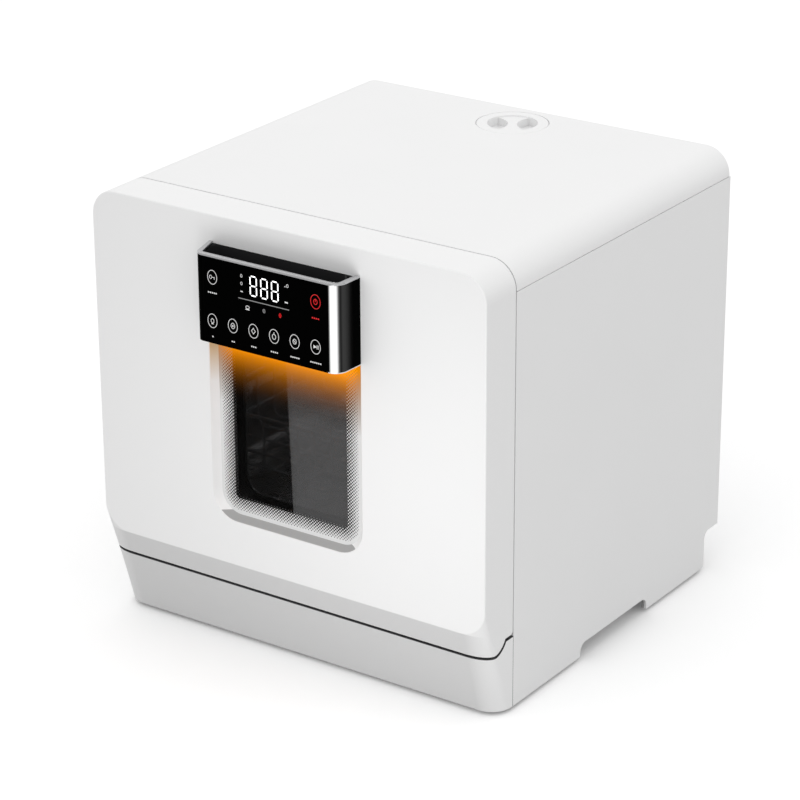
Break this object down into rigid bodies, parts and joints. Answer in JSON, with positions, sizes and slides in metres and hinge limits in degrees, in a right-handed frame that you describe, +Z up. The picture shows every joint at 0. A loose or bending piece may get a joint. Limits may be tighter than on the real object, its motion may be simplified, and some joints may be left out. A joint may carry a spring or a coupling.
{
  "type": "countertop dishwasher",
  "caption": "Countertop dishwasher with a drop-down windowed door, touch control bar, slide-out wire rack, wash arm, built-in water tank and rear connections.",
  "frame": {"origin": "on the worktop, under the centre of the machine's bounding box", "axes": "+Z up, the door faces -Y, +X to the right as seen from the front"},
  "size_m": [0.43, 0.452, 0.43],
  "materials": {
    "cabinet_white": "satin white moulding",
    "back_sheet": "light grey paint",
    "frame_white": "white paint",
    "stainless": "brushed",
    "control_black": "gloss black",
    "touch_glass": "mirror-smooth black",
    "silver_trim": "satin silver",
    "window_glass": "dark tinted glass",
    "clear_glass": "clear glass",
    "liner_plastic": "grey",
    "black_plastic": "matt black",
    "seal_rubber": "dark grey",
    "grey_plastic": "mid grey",
    "hinge_steel": "zinc plated",
    "rack_wire": "grey coated wire",
    "base_plastic": "dark grey",
    "amber_light": "amber diffuser",
    "board_green": "matt green",
    "display_dark": "dark",
    "tank_white": "natural white",
    "insulation": "dark bitumen mat",
    "pump_grey": "dark grey"
  },
  "bodies": {
    "cabinet": {"base_tray": "base_plastic", "feet": "seal_rubber", "front_plinth": "cabinet_white", "left_side_panel": "cabinet_white", "right_side_panel": "cabinet_white", "top_cover": "cabinet_white", "back_panel": "back_sheet", "back_screws": "hinge_steel", "front_frame": "frame_white", "door_seal": "seal_rubber", "tub": "stainless", "insulation_wrap": "insulation", "hinge_arms": "hinge_steel", "latch_housing": "black_plastic", "sump": "grey_plastic", "filter_basket": "stainless", "arm_nut": "grey_plastic", "wash_pump": "pump_grey", "water_heater": "stainless", "wash_hose": "black_plastic", "drain_pump": "pump_grey", "drain_hose": "black_plastic", "inlet_connector": "grey_plastic", "drain_outlet": "black_plastic", "power_gland": "black_plastic", "inlet_valve": "tank_white", "fill_hose": "black_plastic", "power_module": "black_plastic", "water_tank": "tank_white", "tank_brackets": "hinge_steel"},
    "door": {"door_shell": "cabinet_white", "door_liner": "stainless", "window_glass": "window_glass", "inner_glass": "clear_glass", "window_sleeve": "black_plastic", "detergent_cup": "liner_plastic", "door_striker": "hinge_steel", "handle_housing": "control_black", "touch_glass": "touch_glass", "panel_trim": "silver_trim", "light_strip": "amber_light", "control_board": "board_green", "display_module": "display_dark", "hinge_pins": "hinge_steel"},
    "rack": {"dish_rack": "rack_wire", "rack_rails": "stainless"},
    "front_rollers": {"front_rollers": "grey_plastic"},
    "rear_rollers": {"rear_rollers": "grey_plastic"},
    "spray_arm": {"wash_arm": "grey_plastic"},
    "filler_seal": {"filler_gasket": "seal_rubber"},
    "filler_cap": {"filler_cap": "cabinet_white"},
    "detergent_lid": {"detergent_lid": "liner_plastic"}
  },
  "joints": [
    {"name": "door_hinge", "type": "hinge", "parent": "cabinet", "child": "door", "pos_m": [0, -0.179, 0.087], "axis": [1, 0, 0], "range_deg": [0, 90]},
    {"name": "rack_slide", "type": "slide", "parent": "cabinet", "child": "rack", "axis": [0, -1, 0], "range_m": [0, 0.1401]},
    {"name": "front_roller_spin", "type": "hinge", "parent": "cabinet", "child": "front_rollers", "pos_m": [0, -0.11, 0.178], "axis": [1, 0, 0], "range_deg": [0, 892]},
    {"name": "rear_roller_spin", "type": "hinge", "parent": "cabinet", "child": "rear_rollers", "pos_m": [0, -0.07, 0.178], "axis": [1, 0, 0], "range_deg": [0, 892]},
    {"name": "spray_arm_spin", "type": "hinge", "parent": "cabinet", "child": "spray_arm", "pos_m": [0, 0, 0.1255], "axis": [0, 0, 1], "continuous": true},
    {"name": "cap_lift", "type": "slide", "parent": "cabinet", "child": "filler_seal", "axis": [0, 0, 1], "range_m": [0, 0.0121]},
    {"name": "cap_turn", "type": "hinge", "parent": "filler_seal", "child": "filler_cap", "pos_m": [0, 0.1795, 0.427], "axis": [0, 0, 1], "range_deg": [0, 1080]},
    {"name": "detergent_lid_slide", "type": "slide", "parent": "door", "child": "detergent_lid", "axis": [-1, 0, 0], "range_m": [0, 0.036]}
  ],
  "couplings": [
    {"joint": "rack_slide", "follows": "door_hinge", "m_per_rad": 0.089127},
    {"joint": "front_roller_spin", "follows": "door_hinge", "ratio": 9.903},
    {"joint": "rear_roller_spin", "follows": "door_hinge", "ratio": 9.903},
    {"joint": "cap_lift", "follows": "cap_turn", "m_per_rad": 0.00063662}
  ]
}
